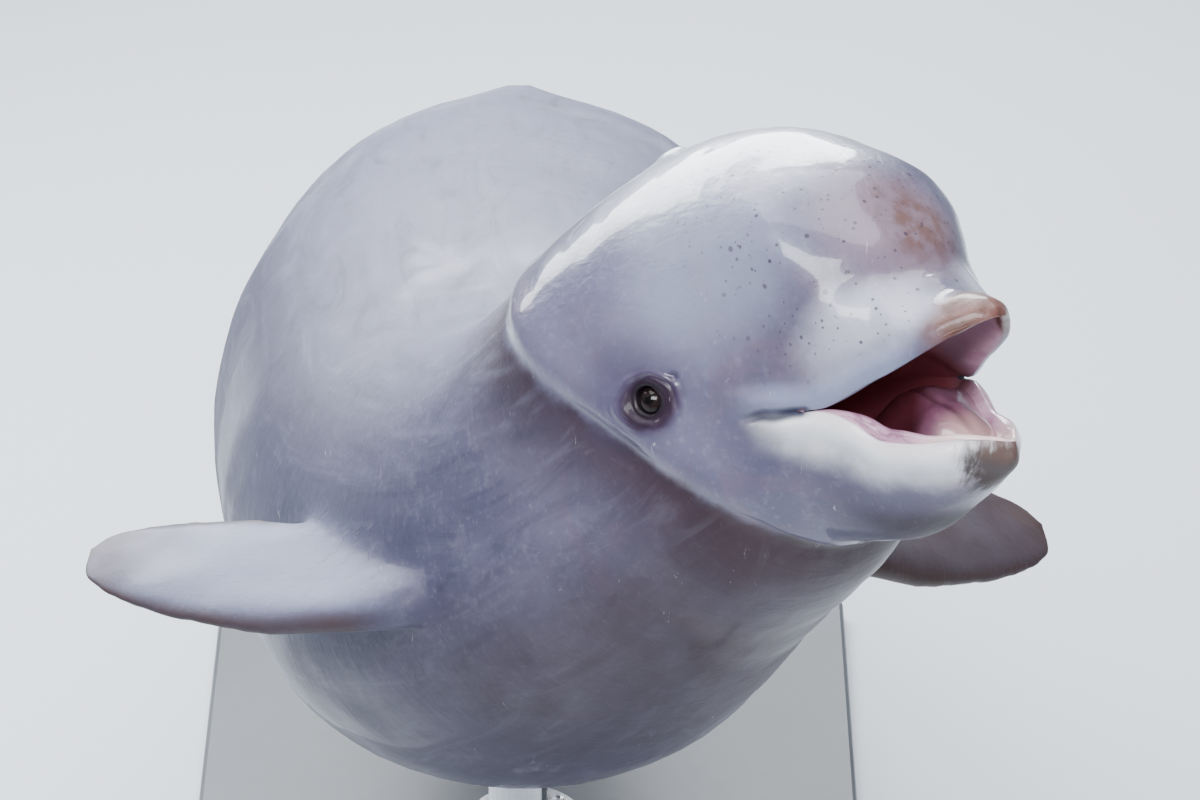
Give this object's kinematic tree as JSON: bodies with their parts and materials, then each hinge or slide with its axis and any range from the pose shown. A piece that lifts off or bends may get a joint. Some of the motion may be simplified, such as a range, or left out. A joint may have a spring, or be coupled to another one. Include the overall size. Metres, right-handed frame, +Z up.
{
  "type": "beluga whale model",
  "caption": "Life-size beluga whale, head turned and mouth open, held on a plain display stand with a flat base and rods.",
  "frame": {"origin": "on the floor, under the middle of the bounding box", "axes": "+X the way the body swims, +Y its left, +Z up"},
  "size_m": [3.0376, 1.0194, 1.9165],
  "materials": {
    "skin": "smooth wet skin, pale grey with a mauve cast",
    "mouth": "wet, soft, mauve pink",
    "eye": "wet and glossy, near black",
    "stand_metal": "satin",
    "stand_base": "satin, dark grey"
  },
  "bodies": {
    "root": {"head": "skin", "lower_jaw": "skin", "tongue": "mouth", "neck": "skin", "chest": "skin", "torso_front": "skin", "torso_rear": "skin", "tail_stock": "skin", "fluke_left": "skin", "fluke_right": "skin", "flipper_left": "skin", "flipper_right": "skin", "eye_left": "eye", "eye_right": "eye", "stand_base": "stand_base", "stand_rod_front": "stand_metal", "stand_rod_rear": "stand_metal"}
  },
  "joints": []
}
